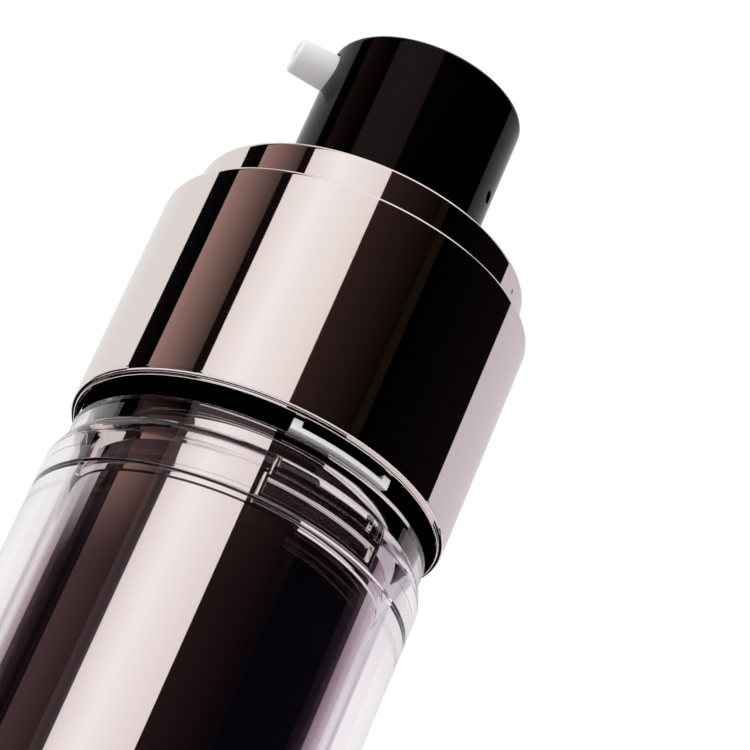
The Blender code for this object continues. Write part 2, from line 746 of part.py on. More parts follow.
def pump_piston(finish, parent):
    lip = PUMP_BORE - PISTON_RUN
    waist = lip - PISTON_WAIST
    bore = STEM_RADIUS + FIT
    outline = [
        (bore, PISTON_TOP),
        (lip, PISTON_TOP),
        (lip, PISTON_TOP - PISTON_LIP),
        (waist, PISTON_TOP - PISTON_LIP - PISTON_WAIST),
        (waist, PISTON_BASE + PISTON_LIP + PISTON_WAIST),
        (lip, PISTON_BASE + PISTON_LIP),
        (lip, PISTON_BASE),
        (bore, PISTON_BASE),
    ]
    return lathe("pump_piston", outline, finish, INNER_STEPS, parent)


def pump_spring(finish, parent):
    """One round wire wound from its seat up to the stem's foot."""
    low = SPRING_BASE + WIRE_RADIUS
    high = SPRING_TOP - WIRE_RADIUS
    curve = bpy.data.curves.new("pump_spring_wire", "CURVE")
    curve.dimensions = "3D"
    curve.bevel_depth = WIRE_RADIUS
    curve.bevel_resolution = 1
    curve.use_fill_caps = True
    count = SPRING_TURNS * TURN_POINTS
    spline = curve.splines.new("POLY")
    spline.points.add(count)
    for index, point in enumerate(spline.points):
        angle = tau * index / TURN_POINTS
        height = low + (high - low) * index / count
        point.co = (SPRING_RADIUS * cos(angle), SPRING_RADIUS * sin(angle), height, 1.0)
    guide = bpy.data.objects.new("pump_spring_guide", curve)
    TOOLS.objects.link(guide)
    bpy.context.view_layer.update()
    spring = add("pump_spring", solid_mesh(guide), finish, parent)
    bpy.data.objects.remove(guide)
    return spring


def actuator_shell(finish, parent):
    crown = arc((BUTTON_RADIUS - BUTTON_ROUND, BUTTON_TOP - BUTTON_ROUND), BUTTON_ROUND, pi / 2, 0.0)
    outline = [
        (0.0, BUTTON_TOP),
        *crown,
        (BUTTON_RADIUS, BUTTON_BASE),
        (BUTTON_BORE, BUTTON_BASE),
        (BUTTON_BORE, BUTTON_CEILING),
        (0.0, BUTTON_CEILING),
    ]
    shell = lathe("actuator_shell", outline, finish, BODY_STEPS, parent)
    past = BUTTON_RADIUS + OVERRUN
    cut(shell, rod("spout_hole", SPOUT_ROOT_RADIUS + FIT, BUTTON_BORE - OVERRUN, past, SPOUT_Z, pi))
    dimple_floor = BUTTON_RADIUS - DIMPLE_DEPTH
    cut(shell, rod("index_dimple", DIMPLE_RADIUS, dimple_floor, past, BUTTON_TOP - DIMPLE_DROP, DIMPLE_ANGLE))
    return shell


def actuator_core(finish, parent):
    """Stem socket and lotion channel under the top of the button."""
    passage = STEM_TOP + FIT
    outline = [
        (0.0, CORE_TOP),
        (BOSS_END, CORE_TOP),
        (BOSS_END, CORE_TOP - CORE_FLANGE),
        (CORE_RADIUS, CORE_TOP - CORE_FLANGE),
        (CORE_RADIUS, SOCKET_BASE),
        (SOCKET_BORE, SOCKET_BASE),
        (SOCKET_BORE, passage),
        (CHANNEL_RADIUS, passage),
        (CHANNEL_RADIUS, SPOUT_Z),
        (0.0, SPOUT_Z),
    ]
    core = lathe("actuator_core", outline, finish, SMALL_STEPS, parent)
    join(core, rod("core_boss", BOSS_RADIUS, CORE_RADIUS / 2, BOSS_END - FIT / 2, SPOUT_Z, pi))
    bore_start = SPOUT_SEAT - SPIGOT_LENGTH - FIT
    cut(core, rod("core_bore", BOSS_BORE, bore_start, BOSS_END + OVERRUN, SPOUT_Z, pi))
    cut(core, rod("core_channel", CHANNEL_RADIUS, -CHANNEL_RADIUS / 2, bore_start + FIT, SPOUT_Z, pi))
    return core


def nozzle(finish, parent):
    """Tapered spout, turned about its own axis and laid along -X."""
    taper = atan2(SPOUT_ROOT_RADIUS - SPOUT_TIP_RADIUS, SPOUT_TIP - SPOUT_SEAT)
    tip_centre = (SPOUT_TIP_RADIUS - SPOUT_ROUND, SPOUT_TIP - SPOUT_ROUND)
    outline = [
        (SPOUT_MOUTH, SPOUT_TIP),
        *arc(tip_centre, SPOUT_ROUND, pi / 2, taper),
        (SPOUT_ROOT_RADIUS, SPOUT_SEAT),
        (SPIGOT_RADIUS, SPOUT_SEAT),
        (SPIGOT_RADIUS, SPOUT_SEAT - SPIGOT_LENGTH),
        (SPOUT_BORE, SPOUT_SEAT - SPIGOT_LENGTH),
        (SPOUT_BORE, SPOUT_TIP - SPOUT_MOUTH_DEPTH),
    ]
    spout = lathe("nozzle", outline, finish, SMALL_STEPS, parent)
    spout.location = (0.0, 0.0, SPOUT_Z)
    spout.rotation_euler = (0.0, -pi / 2, 0.0)
    return spout


def settle(part):
    """Keep the shape that the modifiers make, shaded smooth but for its sharp edges."""
    graph = bpy.context.evaluated_depsgraph_get()
    mesh = bpy.data.meshes.new_from_object(part.evaluated_get(graph))
    part.modifiers.clear()
    part.data = mesh
    mesh.name = part.name
    mesh.shade_smooth()
    mesh.set_sharp_from_angle(angle=SHARP_ANGLE)


def build():
    acrylic = material("clear_acrylic", (0.93, 0.92, 0.94), 0.04, alpha=0.3)
    mirror = material("rose_mirror", (0.80, 0.73, 0.72), 0.05, metallic=1.0)
    refill = material("metallised_refill", (0.80, 0.73, 0.72), 0.05, metallic=1.0)
    gloss_black = material("gloss_black", (0.012, 0.010, 0.011), 0.12)
    black = material("black_sleeve", (0.010, 0.010, 0.010), 0.35)
    white = material("white_plastic", (0.86, 0.84, 0.83), 0.35)
    natural = material("natural_plastic", (0.78, 0.78, 0.76), 0.45)
    rubber = material("soft_gasket", (0.55, 0.55, 0.54), 0.7)
    steel = material("spring_steel", (0.62, 0.63, 0.64), 0.25, metallic=1.0)

    refill_unit = group("refill_unit", LEDGE_Z)
    plunger = group("plunger", STEM_BASE, refill_unit)
    head = group("head", SPOUT_Z, plunger)
    follower = group("follower", FOLLOWER_BASE, refill_unit)

    outer_shell(acrylic)
    inner_bottle(refill, refill_unit)
    bottle_base_cap(white, refill_unit)
    follower_piston(natural, follower)
    neck_gasket(rubber, refill_unit)
    pump_housing(natural, refill_unit)
    ball_retainer(natural, refill_unit)
    stem_retainer(white, refill_unit)
    closure(white, refill_unit)
    collar_sleeve(black, refill_unit)
    outer_collar(mirror, refill_unit)
    cap_ring(mirror, refill_unit)
    pump_spring(steel, refill_unit)
    ball("inlet_ball", INLET_BALL_RADIUS, INLET_BALL_Z, steel, refill_unit)
    ball("outlet_ball", OUTLET_BALL_RADIUS, OUTLET_BALL_Z, steel, plunger)
    stem(white, plunger)
    pump_piston(natural, plunger)
    actuator_shell(gloss_black, head)
    actuator_core(white, head)
    nozzle(white, head)

    for part in [piece for piece in PIECES.objects if piece.type == "MESH"]:
        settle(part)


build()
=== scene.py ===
"""Looks of the airless lotion bottle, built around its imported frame.

Metres, +Z up. The origin is the centre of the foot, and the spout points along -X.
"""

from cmath import exp as turn_by
from math import atan2, ceil, cos, pi, radians, sin, tan, tau

import bmesh
import bpy
from mathutils import Matrix, Vector


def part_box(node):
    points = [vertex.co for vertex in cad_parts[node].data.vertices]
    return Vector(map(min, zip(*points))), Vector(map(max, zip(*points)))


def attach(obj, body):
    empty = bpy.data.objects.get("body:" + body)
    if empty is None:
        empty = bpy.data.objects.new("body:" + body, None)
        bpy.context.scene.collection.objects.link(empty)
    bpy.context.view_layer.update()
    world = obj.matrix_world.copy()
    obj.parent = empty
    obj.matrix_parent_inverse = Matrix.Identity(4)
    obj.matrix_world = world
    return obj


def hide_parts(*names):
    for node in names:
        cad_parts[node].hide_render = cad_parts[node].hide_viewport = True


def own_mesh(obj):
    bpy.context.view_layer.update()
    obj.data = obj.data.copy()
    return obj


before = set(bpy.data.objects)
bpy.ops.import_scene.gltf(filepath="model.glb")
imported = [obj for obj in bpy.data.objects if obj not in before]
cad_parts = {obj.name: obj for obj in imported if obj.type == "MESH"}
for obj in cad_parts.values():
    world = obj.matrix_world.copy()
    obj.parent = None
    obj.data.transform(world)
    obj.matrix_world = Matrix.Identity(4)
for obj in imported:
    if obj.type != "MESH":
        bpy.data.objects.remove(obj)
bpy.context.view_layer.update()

# Fineness of the turned pieces
BODY_SIDES = 256
SMALL_SIDES = 128
BALL_SIDES = 48
SLICE = 0.00035
ARC_TURN = radians(10.0)
WELD = 0.000002
SLICE_WELD = WELD / 10
SUPPORT = 0.00004
LONG_STRETCH = 4 * SUPPORT
GROOVE_LIP = 1 / 4
GROOVE_REACH = 2
STRAIGHT_TURN = radians(1.0)
SHALLOW_TURN = radians(50.0)
SHARP_ANGLE = radians(32.0)
OVERRUN = 0.0010

# Radii to which sharp edges are rounded
HAIR_EDGE = 0.00004
FINE_EDGE = 0.0001
CLOSURE_EDGE = 0.00015
BODY_EDGE = 0.0002
HEAD_EDGE = 0.0003

# The photograph's frame, in pixels, and the camera's place seen from the bottle
PICTURE_SIDE = 750
FOCAL_PIXELS = 3651.2
SENSOR_WIDTH = 36.0
COLLAR_FOOT_PIXEL = (254.72, 483.93)
CAMERA_DISTANCE = 0.34654
VIEW_AZIMUTH = radians(-100.0)
LOOK_UP = radians(26.57)
ROLL = radians(23.51)
CLIP_NEAR = 0.01
CLIP_FAR = 20.0

# Pieces of the model that carry the details made here
SHELL_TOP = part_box("outer_shell")[1].z
BODY_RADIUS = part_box("outer_shell")[1].x
COLLAR_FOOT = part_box("outer_collar")[0].z
COLLAR_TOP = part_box("outer_collar")[1].z
RING_RADIUS = 0.0170
BUTTON_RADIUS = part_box("actuator_shell")[1].x
BUTTON_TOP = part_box("actuator_shell")[1].z
SPOUT_Z = (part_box("nozzle")[0].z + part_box("nozzle")[1].z) / 2


# Camera

def place_camera():
    """The photograph's own view: from below, with the bottle leaning to the right."""
    outward = Vector((cos(VIEW_AZIMUTH), sin(VIEW_AZIMUTH), 0.0))
    forward = -outward * cos(LOOK_UP) + Vector((0.0, 0.0, sin(LOOK_UP)))
    level_right = forward.cross(Vector((0.0, 0.0, 1.0))).normalized()
    level_up = level_right.cross(forward)
    right = level_right * cos(ROLL) + level_up * sin(ROLL)
    up = level_up * cos(ROLL) - level_right * sin(ROLL)
    middle = PICTURE_SIDE / 2
    across = (COLLAR_FOOT_PIXEL[0] - middle) / FOCAL_PIXELS
    down = (COLLAR_FOOT_PIXEL[1] - middle) / FOCAL_PIXELS
    foot = Vector((0.0, 0.0, COLLAR_FOOT))
    spot = foot - (forward + right * across - up * down) * CAMERA_DISTANCE
    data = bpy.data.cameras.new("photo_camera")
    data.sensor_width = SENSOR_WIDTH
    data.lens = FOCAL_PIXELS / PICTURE_SIDE * SENSOR_WIDTH
    data.clip_start = CLIP_NEAR
    data.clip_end = CLIP_FAR
    camera = bpy.data.objects.new("photo_camera", data)
    bpy.context.scene.collection.objects.link(camera)
    axes = Matrix((right, up, -forward)).transposed().to_4x4()
    camera.matrix_world = Matrix.Translation(spot) @ axes
    bpy.context.scene.camera = camera


# Outlines

def section(node, place):
    """The (radius, height) outline of a turned node, cut along a half-plane through its axis."""
    shape = bmesh.new()
    shape.from_mesh(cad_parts[node].data)
    shape.transform(place.inverted())
    bmesh.ops.remove_doubles(shape, verts=shape.verts, dist=WELD)
    everything = [*shape.verts, *shape.edges, *shape.faces]
    found = bmesh.ops.bisect_plane(shape, geom=everything, dist=WELD,
                                   plane_co=(0, 0, 0), plane_no=(0, 1, 0))
    near = {}
    for edge in found["geom_cut"]:
        if isinstance(edge, bmesh.types.BMEdge) and all(v.co.x > -WELD for v in edge.verts):
            one, other = edge.verts
            near.setdefault(one, set()).add(other)
            near.setdefault(other, set()).add(one)
    ends = [v for v, others in near.items() if len(others) == 1]
    here = ends[0] if ends else next(iter(near))
    last = None
    chain = []
    while here is not None and here not in chain:
        chain.append(here)
        ahead = [v for v in near[here] if v is not last and v not in chain]
        last = here
        here = ahead[0] if ahead else None
    points = [complex(max(v.co.x, 0.0), v.co.z) for v in chain]
    shape.free()
    points = without_straights(points, bool(ends))
    if signed_area(points) > 0.0:
        points.reverse()
    return points, bool(ends)


def without_straights(points, is_open):
    """Leave out the points in the middle of a straight stretch."""
    kept = []
    for index, point in enumerate(points):
        before = points[index - 1]
        after = points[(index + 1) % len(points)]
        at_end = is_open and index in (0, len(points) - 1)
        if at_end or abs(bend_at(before, point, after)) > STRAIGHT_TURN:
            kept.append(point)
    return kept


def signed_area(points):
    """The area inside an outline, positive where it runs to the left."""
    pairs = zip(points, points[1:] + points[:1])
    return sum(a.real * b.imag - b.real * a.imag for a, b in pairs) / 2


def bend_at(before, point, after):
    """The angle by which an outline turns at a point, positive to the left."""
    way_in = point - before
    way_out = after - point
    ratio = way_out / way_in
    return atan2(ratio.imag, ratio.real)


def softened(points, is_open, edge, shallow):
    """The outline with its corners rounded: shallow ones wholly, sharp ones by the edge radius."""
    made = []
    for index, point in enumerate(points):
        if is_open and index in (0, len(points) - 1):
            made.append(point)
            continue
        before = points[index - 1]
        after = points[(index + 1) % len(points)]
        bend = bend_at(before, point, after)
        reach = min(abs(point - before), abs(after - point)) / 2
        if abs(bend) > shallow:
            reach = min(reach, edge * tan(abs(bend) / 2))
        radius = reach / tan(abs(bend) / 2)
        way_in = (point - before) / abs(point - before)
        start = point - way_in * reach
        side = 1j if bend > 0.0 else -1j
        centre = start + side * way_in * radius
        count = max(2, ceil(abs(bend) / ARC_TURN))
        made += [centre + (start - centre) * turn_by(1j * bend * step / count) for step in range(count + 1)]
    return without_repeats(made, is_open)


def without_repeats(points, is_open):
    """Leave out the points that lie on the one before."""
    kept = [points[0]]
    for point in points[1:]:
        if abs(point - kept[-1]) > WELD:
            kept.append(point)
    if not is_open and abs(kept[0] - kept[-1]) < WELD:
        kept.pop()
    return kept


def outer_radius(points, height):
    """The largest radius of an outline at a height."""
    reached = []
    for point, after in zip(points, points[1:] + points[:1]):
        if min(point.imag, after.imag) < height <= max(point.imag, after.imag):
            share = (height - point.imag) / (after.imag - point.imag)
            reached.append(point.real + share * (after.real - point.real))
    return max(reached)


def grooved(points, height, width, depth):
    """The outline with a groove in its outer side, which runs downwards, round a height."""
    radius = outer_radius(points, height)
    lip = min(depth, width) * GROOVE_LIP
    high, low = height + width / 2, height - width / 2
    inner = radius - GROOVE_REACH * width
    kept = [p for p in points if abs(p.imag - height) > width / 2 + lip or p.real < inner]
    above = None
    for index, point in enumerate(kept):
        after = kept[(index + 1) % len(kept)]
        if after.imag < height < point.imag and (above is None or point.real > kept[above].real):
            above = index
    groove = [
        complex(outer_radius(points, high + lip), high + lip),
        complex(radius - lip, high),
        complex(radius - depth, high - lip),
        complex(radius - depth, low + lip),
        complex(radius - lip, low),
        complex(outer_radius(points, low - lip), low - lip),
    ]
    return kept[:above + 1] + groove + kept[above + 1:]


def recut(points, low, high, corners):
    """The outline with its points in a box, between two (radius, height) corners, replaced by new ones."""
    made = []
    is_placed = False
    for point in points:
        if low[0] < point.real < high[0] and low[1] < point.imag < high[1]:
            if not is_placed:
                made += [complex(*corner) for corner in corners]
            is_placed = True
        else:
            made.append(point)
    return made


def supported(points, is_open):
    """The outline with a point close to each end of its long stretches, so that they shade flat."""
    made = []
    for index, point in enumerate(points):
        made.append(point)
        if is_open and index == len(points) - 1:
            break
        after = points[(index + 1) % len(points)]
        length = abs(after - point)
        if length > LONG_STRETCH:
            way = (after - point) / length
            made += [point + way * SUPPORT, after - way * SUPPORT]
    return made


# Meshes

def revolved(name, points, is_open, sides, place):
    """A mesh turned from an outline about its own Z axis."""
    ring_start = []
    vertices = []
    for point in points:
        ring_start.append(len(vertices))
        count = 1 if point.real < WELD else sides
        for step in range(count):
            angle = tau * step / sides
            vertices.append(place @ Vector((point.real * cos(angle), point.real * sin(angle), point.imag)))
    faces = []
    spans = len(points) - 1 if is_open else len(points)
    for index in range(spans):
        upper, lower = index, (index + 1) % len(points)
        for step in range(sides):
            after = (step + 1) % sides
            corners = []
            for ring, turn in ((upper, step), (lower, step), (lower, after), (upper, after)):
                corner = ring_start[ring] + (0 if points[ring].real < WELD else turn)
                if corner not in corners:
                    corners.append(corner)
            faces.append(corners)
    mesh = bpy.data.meshes.new(name)
    mesh.from_pydata(vertices, [], faces)
    mesh.validate()
    mesh.shade_smooth()
    return mesh


def turned(name, node, edge, sides=BODY_SIDES, place=Matrix.Identity(4),
           shallow=SHALLOW_TURN, grooves=(), cuts=()):
    """A fine copy of a turned node, with its edges rounded, and with grooves and cuts in its outline."""
    points, is_open = section(node, place)
    points = softened(points, is_open, edge, shallow)
    for height, width, depth in grooves:
        points = grooved(points, height, width, depth)
    for low, high, corners in cuts:
        points = recut(points, low, high, corners)
    points = supported(points, is_open)
    return bpy.data.objects.new(name, revolved(name, points, is_open, sides, place))


def dress(piece, body, slot, look, *nodes):
    """Put a piece in the scene, on its body, in its material, in the place of its nodes."""
    bpy.context.scene.collection.objects.link(piece)
    piece.data.materials.clear()
    piece.data.materials.append(look)
    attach(piece, body)
    if nodes:
        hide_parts(*nodes)
    return piece


def tool(name, mesh):
    """A helper in the scene: a cutter, or a piece in the making."""
    made = bpy.data.objects.new(name, mesh)
    bpy.context.scene.collection.objects.link(made)
    return made


def final_mesh(piece):
    """The mesh that a piece's modifiers or its curve make, shaded smooth but for its sharp edges."""
    bpy.context.view_layer.update()
    graph = bpy.context.evaluated_depsgraph_get()
    mesh = bpy.data.meshes.new_from_object(piece.evaluated_get(graph))
    mesh.shade_smooth()
    mesh.set_sharp_from_angle(angle=SHARP_ANGLE)
    return mesh


def settle(piece):
    """Keep the shape that the modifiers make."""
    mesh = final_mesh(piece)
    piece.modifiers.clear()
    piece.data = mesh


def cut(piece, *cutters):
    """Cut tools out of a piece and remove them."""
    for cutter in cutters:
        step = piece.modifiers.new(cutter.name, "BOOLEAN")
        step.operation = "DIFFERENCE"
        step.solver = "EXACT"
        step.object = cutter
    settle(piece)
    for cutter in cutters:
        bpy.data.objects.remove(cutter)


def bevelled(piece, width, steps):
    """Round the sharp edges of a piece."""
    edge = piece.modifiers.new("Edge", "BEVEL")
    edge.width = width
    edge.segments = steps
    edge.limit_method = "ANGLE"
    settle(piece)


def mesh_of(name, shape):
    """The mesh of a finished bmesh."""
    mesh = bpy.data.meshes.new(name)
    shape.to_mesh(mesh)
    shape.free()
    return mesh


def box_mesh(name, low, high):
    """A box between two corners."""
    shape = bmesh.new()
    bmesh.ops.create_cube(shape, size=1.0)
    size = Vector(high) - Vector(low)
    middle = (Vector(high) + Vector(low)) / 2
    bmesh.ops.scale(shape, vec=size, verts=shape.verts)
    bmesh.ops.translate(shape, vec=middle, verts=shape.verts)
    return mesh_of(name, shape)


def prism_mesh(name, outline, inner, outer):
    """A flat piece with its outline in X and Z and its thickness along Y."""
    shape = bmesh.new()
    near = [shape.verts.new((x, inner, z)) for x, z in outline]
    far = [shape.verts.new((x, outer, z)) for x, z in outline]
    shape.faces.new(near)
    shape.faces.new(far)
    for index in range(len(outline)):
        shape.faces.new((near[index - 1], near[index], far[index], far[index - 1]))
    bmesh.ops.recalc_face_normals(shape, faces=shape.faces)
    return mesh_of(name, shape)


def bend_round(mesh, radius):
    """Bend a flat mesh round the axis: X is the arc at the radius, Y the distance from the axis."""
    shape = bmesh.new()
    shape.from_mesh(mesh)
    low = min(v.co.x for v in shape.verts)
    high = max(v.co.x for v in shape.verts)
    count = ceil((high - low) / SLICE)
    for step in range(1, count):
        place = low + (high - low) * step / count
        everything = [*shape.verts, *shape.edges, *shape.faces]
        bmesh.ops.bisect_plane(shape, geom=everything, dist=SLICE_WELD,
                               plane_co=(place, 0, 0), plane_no=(1, 0, 0))
    for vertex in shape.verts:
        angle = vertex.co.x / radius
        vertex.co = (vertex.co.y * cos(angle), vertex.co.y * sin(angle), vertex.co.z)
    if shape.calc_volume(signed=True) < 0.0:
        bmesh.ops.reverse_faces(shape, faces=shape.faces)
    shape.to_mesh(mesh)
    shape.free()
    mesh.shade_smooth()
    mesh.set_sharp_from_angle(angle=SHARP_ANGLE)


def wrapped(piece, radius, angle):
    """Bend a flat piece round the bottle at a radius and turn it to its place."""
    bend_round(piece.data, radius)
    piece.data.transform(Matrix.Rotation(angle, 4, "Z"))


# Materials

HAZE_DETAIL = 3.0
GRAIN_DETAIL = 2.0
ACRYLIC_IOR = 1.49


def finish(name, colour, roughness, metallic=0.0,
           grain=0.0, grain_size=0.001, haze=0.0, haze_size=0.008, **more):
    """A Principled material with a fine grain in its bump and a soft change in its roughness."""
    look = bpy.data.materials.new(name)
    look.use_nodes = True
    tree = look.node_tree
    shader = tree.nodes["Principled BSDF"]
    shader.inputs["Base Color"].default_value = (*colour, 1.0)
    shader.inputs["Roughness"].default_value = roughness
    shader.inputs["Metallic"].default_value = metallic
    for socket, value in more.items():
        shader.inputs[socket.replace("_", " ")].default_value = value
    place = tree.nodes.new("ShaderNodeTexCoord")
    if haze:
        cloud = tree.nodes.new("ShaderNodeTexNoise")
        cloud.inputs["Scale"].default_value = 1.0 / haze_size
        cloud.inputs["Detail"].default_value = HAZE_DETAIL
        tree.links.new(place.outputs["Object"], cloud.inputs["Vector"])
        spread = tree.nodes.new("ShaderNodeMapRange")
        spread.inputs["To Min"].default_value = roughness
        spread.inputs["To Max"].default_value = roughness + haze
        tree.links.new(cloud.outputs["Fac"], spread.inputs["Value"])
        tree.links.new(spread.outputs["Result"], shader.inputs["Roughness"])
    if grain:
        texture = tree.nodes.new("ShaderNodeTexNoise")
        texture.inputs["Scale"].default_value = 1.0 / grain_size
        texture.inputs["Detail"].default_value = GRAIN_DETAIL
        tree.links.new(place.outputs["Object"], texture.inputs["Vector"])
        bump = tree.nodes.new("ShaderNodeBump")
        bump.inputs["Strength"].default_value = 1.0
        bump.inputs["Distance"].default_value = grain
        tree.links.new(texture.outputs["Fac"], bump.inputs["Height"])
        tree.links.new(bump.outputs["Normal"], shader.inputs["Normal"])
    return look


ACRYLIC = finish("clear_acrylic", (0.985, 0.975, 0.985), 0.0, Transmission_Weight=1.0, IOR=ACRYLIC_IOR,
                 Specular_Tint=(0.60, 0.45, 0.48, 1.0))
MIRROR = finish("rose_mirror", (0.84, 0.76, 0.75), 0.03, metallic=1.0)
REFILL = finish("metallised_refill", (0.86, 0.78, 0.78), 0.02, metallic=1.0)
GLOSS_BLACK = finish("gloss_black", (0.0006, 0.0004, 0.0004), 0.04, haze=0.03,
                     Specular_IOR_Level=0.12, Specular_Tint=(1.0, 0.66, 0.72, 1.0))
BLACK = finish("black_sleeve", (0.0004, 0.0004, 0.0004), 0.4, haze=0.1, Specular_IOR_Level=0.0)
# The keys' white is a lighter copy of the white plastic: painted light, so that the keys read bright where
# they sit in the sleeve's shade.
LIT_KEY_WHITE = finish("key_white_painted_light", (0.93, 0.92, 0.92), 0.4, grain=0.000004, grain_size=0.0004, haze=0.1)
WHITE = finish("white_plastic", (0.84, 0.82, 0.81), 0.4, grain=0.000004, grain_size=0.0004, haze=0.1)
NATURAL = finish("natural_plastic", (0.74, 0.74, 0.71), 0.45, grain=0.000004, grain_size=0.0005, haze=0.1)
GASKET = finish("soft_gasket", (0.45, 0.45, 0.44), 0.7, grain=0.00001, grain_size=0.0003)
STEEL = finish("spring_steel", (0.62, 0.63, 0.64), 0.2, metallic=1.0, haze=0.1, haze_size=0.001)


# Clear shell and the refill inside it

LUG_COUNT = 3
LUG_CENTRE = radians(-74.2)
LUG_SPAN = radians(43.8)
TIER_SHIFT = radians(1.6)
TAB_SPAN = radians(4.5)
LUG_RADIUS = 0.0167
LUG_ROOT = 0.0150
LUG_FLOOR = 0.0161
LUG_LOW = SHELL_TOP - 0.0069
LUG_HEIGHT = 0.0046
LUG_RAIL = 0.0005
LUG_EDGE = 0.00018
LUG_EDGE_STEPS = 4


def lug(turn):
    """A raised frame in two tiers with an end tab, standing on the ledge of the shell."""
    middle = LUG_LOW + LUG_HEIGHT / 2
    step = middle + LUG_RAIL / 2
    high = LUG_LOW + LUG_HEIGHT
    right = LUG_SPAN / 2 * LUG_RADIUS
    left = -right
    foot = left - TIER_SHIFT * LUG_RADIUS
    tab = right - TAB_SPAN * LUG_RADIUS
    past = LUG_RADIUS + OVERRUN
    name = f"lug_{turn + 1}"
    outline = [(foot, LUG_LOW), (right, LUG_LOW), (right, high), (left, high), (left, step), (foot, step)]
    piece = tool(name, prism_mesh(name, outline, LUG_ROOT, LUG_RADIUS))
    above = middle + LUG_RAIL
    below = middle - LUG_RAIL / 2
    # Far above the top, so that the pocket of the tab is open there
    over = high + past
    pockets = [
        box_mesh("upper", (left + LUG_RAIL, LUG_FLOOR, above), (tab - LUG_RAIL, past, high - LUG_RAIL)),
        box_mesh("tab", (tab + LUG_RAIL / 2, LUG_FLOOR, above), (right - LUG_RAIL / 2, past, over)),
        box_mesh("lower", (foot + LUG_RAIL, LUG_FLOOR, LUG_LOW + LUG_RAIL), (right - LUG_RAIL, past, below)),
    ]
    cut(piece, *[tool(mesh.name, mesh) for mesh in pockets])
    bevelled(piece, LUG_EDGE, LUG_EDGE_STEPS)
    wrapped(piece, LUG_RADIUS, LUG_CENTRE + turn * tau / LUG_COUNT)
    bpy.context.scene.collection.objects.unlink(piece)
    dress(piece, "refill", "metallised_plastic", REFILL)


CREASE = radians(30.0)
NECK_FOOT = SHELL_TOP - 0.0027
SHOULDER_FOOT = SHELL_TOP - 0.0047
LINE_WIDTH = 0.00010
LINE_DEPTH = 0.00004
REFILL_RADIUS = 0.0155
RIM_TOP = SHELL_TOP - 0.0001
RIM_WIDTH = 0.0005
RIM_EDGE = 0.00004
FLARE_HEIGHT = 0.0015
FLARE = 0.00016
FLARE_STEPS = 10


def flared_rim():
    """The top of the refill's band, which opens a little towards a crisp rim, from the inside out."""
    rim = [(REFILL_RADIUS - RIM_WIDTH, RIM_TOP), (REFILL_RADIUS + FLARE - RIM_EDGE, RIM_TOP)]
    for step in range(FLARE_STEPS + 1):
        share = 1.0 - step / FLARE_STEPS
        rim.append((REFILL_RADIUS + FLARE * share ** 2, RIM_TOP - RIM_EDGE - FLARE_HEIGHT * (1.0 - share)))
    return rim


def shell_and_refill():
    lines = ((NECK_FOOT, LINE_WIDTH / 2, LINE_DEPTH / 2), (SHOULDER_FOOT, LINE_WIDTH, LINE_DEPTH))
    shell = turned("clear_shell", "outer_shell", HAIR_EDGE, shallow=CREASE, grooves=lines)
    dress(shell, "shell", "clear_acrylic", ACRYLIC, "outer_shell")
    past = REFILL_RADIUS + OVERRUN
    rim = ((REFILL_RADIUS - RIM_WIDTH, RIM_TOP - FLARE_HEIGHT - RIM_EDGE), (past, SHELL_TOP), flared_rim())
    refill = turned("refill_bottle", "inner_bottle", BODY_EDGE, cuts=(rim,))
    dress(refill, "refill", "metallised_plastic", REFILL, "inner_bottle")
    for turn in range(LUG_COUNT):
        lug(turn)
    foot = turned("refill_foot", "bottle_base_cap", BODY_EDGE)
    dress(foot, "refill", "white_plastic", WHITE, "bottle_base_cap")
    piston = turned("wiper_piston", "follower_piston", FINE_EDGE)
    dress(piston, "follower", "natural_plastic", NATURAL, "follower_piston")
    gasket = turned("mouth_gasket", "neck_gasket", FINE_EDGE, SMALL_SIDES)
    dress(gasket, "refill", "soft_gasket", GASKET, "neck_gasket")


# Collar, sleeve and closure

KEY_COUNT = 3
KEY_CENTRE = radians(-78.0)
KEY_SPAN = radians(36.5)
KEY_RADIUS = 0.0179
KEY_ROOT = 0.0160
KEY_LOW = SHELL_TOP + 0.0004
KEY_HEIGHT = 0.0005
KEY_END = 0.0010
KEY_END_RISE = 0.0006
KEY_EDGE = 0.00008
KEY_EDGE_STEPS = 3
NOTCH_GAP = 0.0003
NOTCH_ROOT = 0.0166
SLEEVE_RADIUS = 0.0180
COLLAR_BORE = 0.0183
LIP_FOOT = COLLAR_FOOT - 0.00025
LIP_CUT = 0.00062
LIP_BEVEL = 0.00012
LIP_STEP = 0.00034
LIP_WIDTH = 0.00028
LIP_EDGE = 0.00007
DOT_RADIUS = 0.00025
DOT_DEPTH = 0.0003
DOT_SIDES = 24
DOT_ANGLE = radians(-36.4)
DOT_Z = COLLAR_TOP + 0.0025


def key_outline(gap, low):
    """A key's bar with its two raised ends, grown by a gap, down to a height."""
    half = KEY_SPAN / 2 * KEY_RADIUS + gap
    inside = half - KEY_END - 2 * gap
    top = KEY_LOW + KEY_HEIGHT + gap
    tip = top + KEY_END_RISE
    return [(-half, low), (half, low), (half, tip), (inside, tip), (inside, top),
            (-inside, top), (-inside, tip), (-half, tip)]


def key_angle(turn):
    """The place of a key round the bottle."""
    return KEY_CENTRE + turn * tau / KEY_COUNT


def notch_cutter(turn):
    """The place of a key in the sleeve, open below."""
    name = f"notch_{turn}"
    outline = key_outline(NOTCH_GAP, KEY_LOW - OVERRUN)
    piece = tool(name, prism_mesh(name, outline, NOTCH_ROOT, SLEEVE_RADIUS + OVERRUN))
    wrapped(piece, KEY_RADIUS, key_angle(turn))
    return piece


